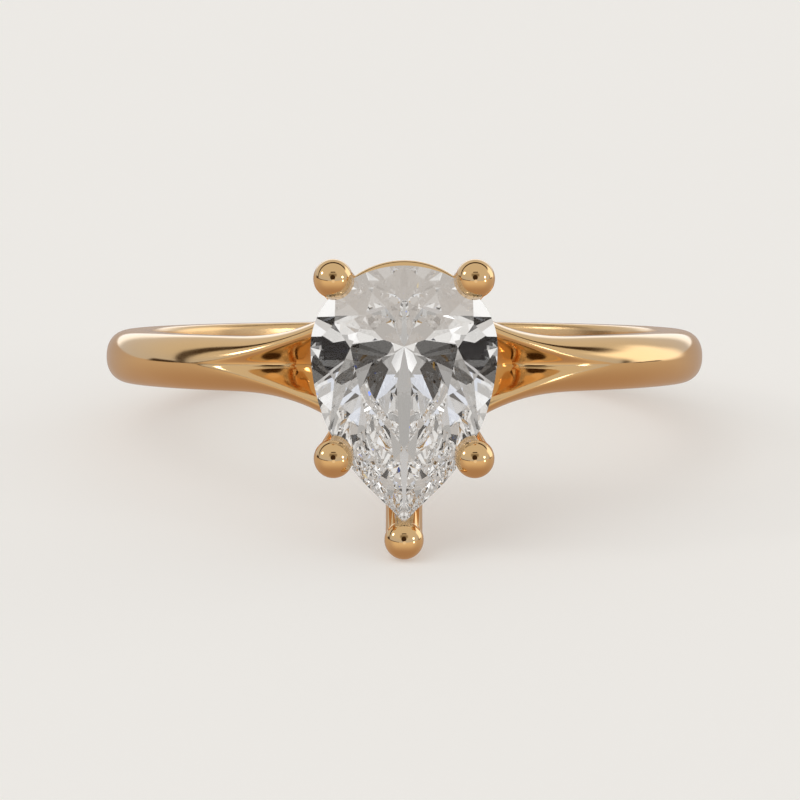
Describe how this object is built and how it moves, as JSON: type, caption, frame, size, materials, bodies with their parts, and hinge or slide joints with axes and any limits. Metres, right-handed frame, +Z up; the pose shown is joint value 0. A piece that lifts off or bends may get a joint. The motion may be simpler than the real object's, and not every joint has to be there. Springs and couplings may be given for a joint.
{
  "type": "engagement ring",
  "caption": "Solitaire engagement ring: pear-cut white stone held by five round claws with beaded tips on a polished yellow-gold band that splits in two at each shoulder.",
  "frame": {"origin": "centre of the finger hole, on its axis and midway across the band", "axes": "the ring lies at rest on a level surface: +Z is up, the stone faces -Y and leans up by the resting tilt, and X runs across the head. The finger hole's axis is tilted 12.8 degrees from +Z towards -Y"},
  "size_m": [0.0202, 0.0242, 0.0091],
  "materials": {
    "diamond": "polished facets, colourless",
    "gold_head": "mirror-polished 18 carat yellow gold",
    "gold_shank": "mirror-polished 18 carat yellow gold"
  },
  "bodies": {
    "root": {"pear_stone": "diamond", "claw_top_left": "gold_head", "claw_top_right": "gold_head", "claw_side_left": "gold_head", "claw_side_right": "gold_head", "claw_point": "gold_head", "gallery_rail": "gold_head", "head_collar": "gold_head", "arm_upper_left": "gold_shank", "arm_lower_left": "gold_shank", "arm_upper_right": "gold_shank", "arm_lower_right": "gold_shank", "band": "gold_shank"}
  },
  "joints": []
}
